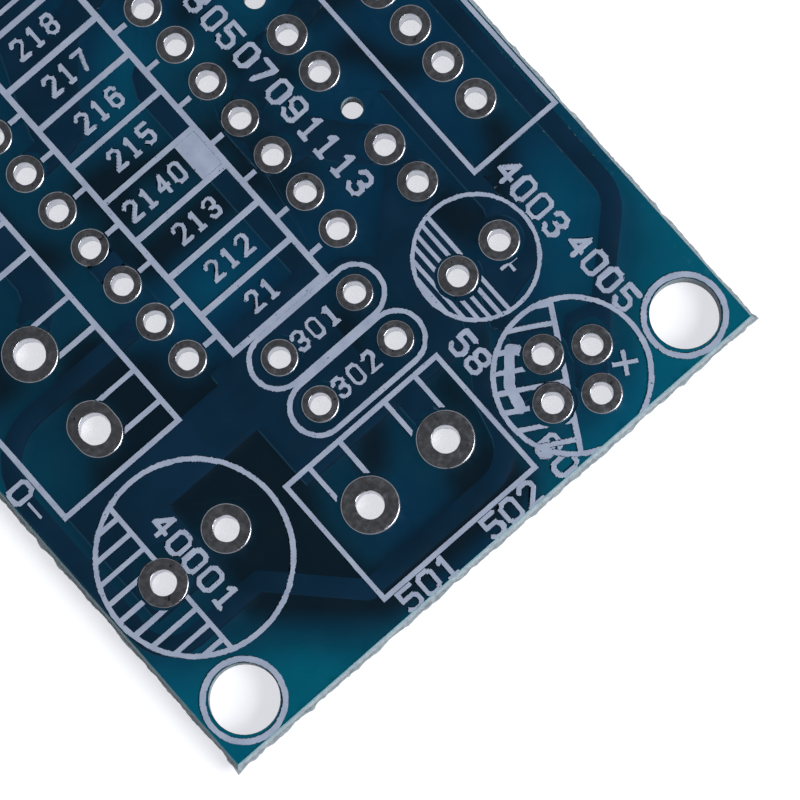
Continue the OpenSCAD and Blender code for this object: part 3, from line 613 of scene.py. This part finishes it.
def mask_skin(node, name, up, material, under, longest):
    """One mask, with what its material needs to know of the copper and the edges."""
    piece = copy_of(node, name)
    slope_copper_edges(piece, up)
    round_the_lips(piece, up)
    refill_flats(piece, up)
    split_long_edges(piece, outer_face(up), longest, level_face(up))
    co = points_of(piece.data)
    store(piece, "open_light", read_field(openness, co))
    # painted shade where the far side's copper blocks the light through the laminate
    store(piece, "far_copper_shade", read_field(under, co))
    # painted rim light, pale where the score mark cuts the mask; painted shade, dark where a corner hole
    # does
    cut_edge = np.maximum(abs(co[:, 0]) - FACE_X, abs(co[:, 1]) - FACE_Y) > -0.004
    hole = np.zeros(len(co), bool)
    for place in corner_places:
        hole |= abs(np.linalg.norm(co[:, :2] - place, axis=1) - CORNER_R) < 0.02
    store(piece, "rim_light", cut_edge * 1.0 - hole * 1.0)
    # painted highlight on the mask's slope at a copper edge facing -X, the near side of a track; painted
    # shade on one facing -Y, the far one
    n, c = facing(piece.data)
    slope = (abs(n[:, 2]) > 0.95) & (abs(n[:, 2]) < 0.99)
    glint_side = np.clip((-n[:, 0] / MASK_LEAN - 0.7) / 0.3, 0, 1)
    shade_side = np.clip((-n[:, 1] / MASK_LEAN - 0.7) / 0.3, 0, 1)
    store(piece, "edge_glint_and_shade", slope * (glint_side - shade_side), "FACE")
    return finish(piece, material, [node], 12)


corner_mount = next(m for m in frame["record"]["mounts"] if m["name"] == "corner_holes")
CORNER_R = corner_mount["dims"]["hole_r_mm"]
corner_places = [np.array((sx * corner_mount["dims"]["spacing_x_mm"] / 2,
                           sy * corner_mount["dims"]["spacing_y_mm"] / 2))
                 for sx in (-1, 1) for sy in (-1, 1)]

mask_skin("top_solder_mask", "top_mask_skin", 1, TOP_MASK, blurred(bottom_cover, COPPER_BLUR), 0.7)
mask_skin("bottom_solder_mask", "bottom_mask_skin", -1, BOTTOM_MASK,
          blurred(top_cover, COPPER_BLUR), 0.9)


# ---------------------------------------------------------------- laminate

def snapped_side(n, c):
    """The faces of the score marks and the torn web, not those of the holes."""
    out = np.maximum(abs(c[:, 0]) - FACE_X, abs(c[:, 1]) - FACE_Y)
    return (abs(n[:, 2]) < 0.98) & (out > -0.02) | (out > 0.02)


def laminate_core():
    """The laminate with its score marks and its torn web, pulled ragged where it snapped."""
    piece = copy_of("base_laminate", "laminate_core")
    split_long_edges(piece, snapped_side, 0.3)
    mesh = piece.data
    co = points_of(mesh)
    for i, p in enumerate(co):
        x_out, y_out = abs(p[0]) - FACE_X, abs(p[1]) - FACE_Y
        far_out = max(x_out, y_out)
        if far_out < 0.05:
            continue
        web = min((far_out - 0.05) / 0.1, 1)
        spot = Vector(p)
        ragged = noise.noise(spot * 3.2) * 0.05 + noise.noise(spot * 8.5) * 0.035
        tufts = max(noise.noise(spot * Vector((1.7, 1.7, 0.8))) - 0.25, 0) * 0.16
        pull = (0.02 + ragged + tufts + (0.07 if p[1] < -FACE_Y else 0.0)) * web
        if x_out > 0.05:
            co[i, 0] += math.copysign(pull, p[0])
        if y_out > 0.05:
            co[i, 1] += math.copysign(pull, p[1])
        co[i, 2] += noise.noise(spot * 5 + Vector((9, 0, 0))) * 0.03 * web
    place_points(mesh, co)
    return finish(piece, LAMINATE, ["base_laminate"], 20)


laminate_core()


# ---------------------------------------------------------------- plated holes

def footprints(node):
    """Place, hole radius, pad radius and stretch of each plated hole of a family."""
    piece = copy_of(node, "measuring")
    into_edit(piece)
    bpy.ops.mesh.separate(type="LOOSE")
    out_of_edit()
    found = []
    for part in list(bpy.context.selected_objects):
        co = points_of(part.data)
        low, high = co.min(0), co.max(0)
        middle = (low + high) / 2
        out = np.linalg.norm(co[:, :2] - middle[:2], axis=1)
        found.append((middle[:2], out.min(), (high[0] - low[0]) / 2,
                      (high[1] - low[1] - high[0] + low[0]) / 2))
        bpy.data.objects.remove(part)
    return sorted(found, key=lambda f: (f[0][0], f[0][1]))


CROWN = 0.022                          # solder stands this much above its pad
RIM = 0.04                             # and reaches this far over the pad's edge


def eyelet(hole_r, pad_r):
    """A plated hole: the barrel, the crowned solder on each face and their rounded rims."""
    top, foot = PAD_HIGH + CROWN, CORE_HIGH + 0.001
    wall = hole_r + 0.018
    side = [(hole_r, top - 0.4), (hole_r, top - 0.03), (hole_r + 0.006, top - 0.012),
            (hole_r + 0.018, top - 0.003), (hole_r + 0.05, top - 0.001),
            (hole_r + 0.11, top - 0.001), ((hole_r + pad_r) / 2, top), (pad_r - 0.1, top - 0.001),
            (pad_r - 0.03, top - 0.003), (pad_r - 0.01, top - 0.006), (pad_r + 0.005, top - 0.012),
            (pad_r + 0.018, top - 0.023), (pad_r + RIM, top - 0.039), (pad_r + RIM, foot), (wall, foot)]
    middle = (CORE_LOW + CORE_HIGH) / 2
    section = side + [(r, 2 * middle - z) for r, z in reversed(side)]
    rest_everything()
    bpy.ops.mesh.primitive_circle_add(vertices=56, radius=section[0][0],
                                      location=(0, 0, section[0][1]))
    piece = bpy.context.object
    bpy.ops.object.transform_apply(location=True)
    bpy.ops.object.mode_set(mode="EDIT")
    bpy.ops.mesh.select_mode(type="EDGE")
    bpy.ops.mesh.select_all(action="SELECT")
    for (r0, z0), (r1, z1) in zip(section, section[1:]):
        bpy.ops.mesh.extrude_region_move(TRANSFORM_OT_translate={"value": (0, 0, z1 - z0)})
        bpy.ops.transform.resize(value=(r1 / r0, r1 / r0, 1))
    bpy.ops.mesh.select_all(action="SELECT")
    bpy.ops.mesh.select_non_manifold(extend=False)
    bpy.ops.mesh.bridge_edge_loops()
    bpy.ops.mesh.select_all(action="SELECT")
    bpy.ops.mesh.normals_make_consistent(inside=False)
    out_of_edit()
    return piece


def settle(piece, place, hole_r, pad_r, stretch):
    """Puts a copy of the eyelet on its place, with its own small unevenness."""
    co = points_of(piece.data)
    r = np.linalg.norm(co[:, :2], axis=1)
    out = np.clip((r - hole_r) / (pad_r - hole_r), 0, 1)
    co[:, 1] += np.sign(co[:, 1]) * stretch * out
    for i, p in enumerate(co):
        spot = Vector((p[0] + place[0], p[1] + place[1], p[2]))
        near_hole = max(1 - (r[i] - hole_r) / 0.2, 0)
        pinch = (noise.noise(spot * 1.9) * 0.035 + noise.noise(spot * 5.0) * 0.012) * near_hole
        co[i, :2] *= 1 + (pinch + noise.noise(spot * 2.2) * 0.01 * out[i]) / r[i]
        if 0.05 < out[i] < 0.98:
            dent = noise.noise(spot * 2.6) * 0.006
            co[i, 2] += dent if p[2] > 0.8 else -dent
    co[:, :2] += place
    co[:, 2] = np.clip(co[:, 2], 2 * MM - CROWN, PAD_HIGH + CROWN + 0.006)
    place_points(piece.data, co)


def solder_family(node):
    spots = footprints(node)
    patterns, placed = {}, []
    for place, hole_r, pad_r, stretch in spots:
        size = (round(hole_r, 2), round(pad_r, 2))
        if size not in patterns:
            patterns[size] = eyelet(hole_r, pad_r)
        one = patterns[size].copy()
        one.data = patterns[size].data.copy()
        bpy.context.collection.objects.link(one)
        settle(one, place, hole_r, pad_r, stretch)
        placed.append(one)
    for pattern in patterns.values():
        bpy.data.objects.remove(pattern)
    rest_everything()
    for one in placed:
        one.select_set(True)
    bpy.context.view_layer.objects.active = placed[0]
    bpy.ops.object.join()
    whole = placed[0]
    whole.name = whole.data.name = node.replace("_pads", "_plated_holes")
    return finish(whole, SOLDER, [node], 35)


for family in PADS:
    solder_family(family)


# ---------------------------------------------------------------- printed legend

RASTER = 0.115                         # grain of the print's edges
# An outline's edges longer than the first number are cut so many times, in this order
OUTLINE_CUTS = ((3, 9), (0.9, 9), (0.3, 3), (0.12, 2), (0.08, 1), (0.055, 1))


def printed(node):
    """The ink with the stepped, ragged edges of a coarse print."""
    piece = copy_of(node, node + "_print", whole_faces=False)
    mesh = piece.data
    for longest, cuts in OUTLINE_CUTS:
        face, edge = loops_of(mesh)
        n, _ = facing(mesh)
        flat = np.bincount(edge, abs(n[:, 2])[face] > 0.7, len(mesh.edges))
        ends, length = edge_lengths(mesh)
        co = points_of(mesh)
        level = abs(co[ends[:, 0], 2] - co[ends[:, 1], 2]) < SAME_LEVEL
        outline = np.where((flat == 1) & level & (length > longest))[0]
        if len(outline):
            into_edit(piece)
            choose(piece, edges=outline)
            bpy.ops.mesh.subdivide(number_cuts=cuts)
            out_of_edit()
    n, _ = facing(mesh)
    into_edit(piece)
    choose(piece, faces=np.where(abs(n[:, 2]) > 0.7)[0])
    bpy.ops.mesh.quads_convert_to_tris(quad_method="BEAUTY", ngon_method="BEAUTY")
    bpy.ops.mesh.beautify_fill(angle_limit=0.02)
    out_of_edit()
    co = points_of(mesh)
    side = np.zeros((len(co), 2))
    for face in mesh.polygons:
        if abs(face.normal.z) < 0.3:
            side[list(face.vertices)] += np.array(face.normal[:2])
    length = np.linalg.norm(side, axis=1)
    rim = np.where(length > 1e-6)[0]
    side[rim] /= length[rim, None]
    # the small figures are stepped the most; long lines only show fine beads
    stepped = 0.8 if node.endswith("numbers") else 0.4
    for i in rim:
        askew = min(abs(side[i, 0]), abs(side[i, 1])) > 0.12
        step = (np.round(co[i, :2] / RASTER) * RASTER - co[i, :2]) @ side[i]
        spot = Vector((co[i, 0], co[i, 1], 0))
        ragged = noise.noise(spot * 9) * 0.014 + noise.noise(spot * 23) * 0.014
        co[i, :2] += side[i] * (ragged + (step * stepped if askew else 0))
    place_points(mesh, co)
    return finish(piece, LEGEND, [node])


for name in INK:
    printed(name)


# ---------------------------------------------------------------- copper

for name in TOP_COPPER + BOTTOM_COPPER:
    nodes[name].data.materials.clear()
    nodes[name].data.materials.append(COPPER)


# ---------------------------------------------------------------- floor, light, camera

def floor_material():
    """White to the camera, with room for the board's shadow."""
    material = bpy.data.materials.new("white_table")
    material.use_nodes = True
    tree = material.node_tree
    tree.nodes.clear()
    out = tree.nodes.new("ShaderNodeOutputMaterial")
    both = tree.nodes.new("ShaderNodeAddShader")
    matt = tree.nodes.new("ShaderNodeBsdfDiffuse")
    matt.inputs["Color"].default_value = (0.5, 0.5, 0.5, 1)
    lit = tree.nodes.new("ShaderNodeEmission")
    lit.inputs["Color"].default_value = (0.64, 0.645, 0.68, 1)
    path = tree.nodes.new("ShaderNodeLightPath")
    seen = tree.nodes.new("ShaderNodeMath")
    seen.operation = "MAXIMUM"
    seen_too = tree.nodes.new("ShaderNodeMath")
    seen_too.operation = "MAXIMUM"
    tree.links.new(path.outputs["Is Camera Ray"], seen.inputs[0])
    tree.links.new(path.outputs["Is Glossy Ray"], seen.inputs[1])
    tree.links.new(seen.outputs[0], seen_too.inputs[0])
    tree.links.new(path.outputs["Is Transmission Ray"], seen_too.inputs[1])
    tree.links.new(seen_too.outputs[0], lit.inputs["Strength"])
    tree.links.new(matt.outputs[0], both.inputs[0])
    tree.links.new(lit.outputs[0], both.inputs[1])
    tree.links.new(both.outputs[0], out.inputs["Surface"])
    return material


rest_everything()
bpy.ops.mesh.primitive_plane_add(size=4, location=(0, 0, -0.00002))
table = bpy.context.object
table.name = "table_top"
table.data.materials.append(floor_material())

# A room with pale walls and a dark ceiling; its two limits are sines of the height angle
WALLS_END, CEILING_START = 0.5, 0.82
WALL_LIGHT, CEILING_LIGHT = 0.5, 0.075
SKY_TINT = (0.97, 0.985, 1)

world = bpy.data.worlds.new("studio")
world.use_nodes = True
bpy.context.scene.world = world
tree = world.node_tree
tree.nodes.clear()
sky = tree.nodes.new("ShaderNodeBackground")
where = tree.nodes.new("ShaderNodeTexCoord")
split = tree.nodes.new("ShaderNodeSeparateXYZ")
fade = tree.nodes.new("ShaderNodeMapRange")
fade.inputs["From Min"].default_value = WALLS_END
fade.inputs["From Max"].default_value = CEILING_START
fade.inputs["To Min"].default_value = WALL_LIGHT
fade.inputs["To Max"].default_value = CEILING_LIGHT
tree.links.new(where.outputs["Generated"], split.inputs[0])
tree.links.new(split.outputs["Z"], fade.inputs["Value"])
tree.links.new(fade.outputs[0], sky.inputs["Strength"])
sky.inputs["Color"].default_value = (*SKY_TINT, 1)
tree.links.new(sky.outputs[0], tree.nodes.new("ShaderNodeOutputWorld").inputs["Surface"])


def softbox(name, heading, rise, distance, width, power):
    """A square lamp that faces the board from this heading and height."""
    lamp = bpy.data.lights.new(name, "AREA")
    lamp.shape = "SQUARE"
    lamp.size = width
    lamp.energy = power
    box = bpy.data.objects.new(name, lamp)
    bpy.context.collection.objects.link(box)
    h, r = math.radians(heading), math.radians(rise)
    back = Vector((math.cos(h) * math.cos(r), math.sin(h) * math.cos(r), math.sin(r)))
    box.location = back * distance
    box.rotation_mode = "QUATERNION"
    box.rotation_quaternion = back.to_track_quat("Z", "Y")
    return box


softbox("key_softbox", heading=-60, rise=42, distance=0.6, width=0.34, power=3.7)

shot = bpy.data.cameras.new("camera")
shot.lens = 219.375
shot.sensor_width = 36
shot.clip_start = 0.01
shot.clip_end = 10
camera = bpy.data.objects.new("camera", shot)
bpy.context.collection.objects.link(camera)
lens_at = Vector((-15.984, -40.294, 247.734))
right = Vector((0.75235, -0.65868, -0.01094))
upward = Vector((0.65518, 0.74641, 0.11667))
forward = Vector((0.06868, 0.09494, -0.99311))
turn = Matrix((right, upward, -forward)).transposed().to_4x4()
camera.matrix_world = Matrix.Translation(lens_at * MM) @ turn
bpy.context.scene.camera = camera
bpy.context.scene.view_settings.view_transform = "Standard"
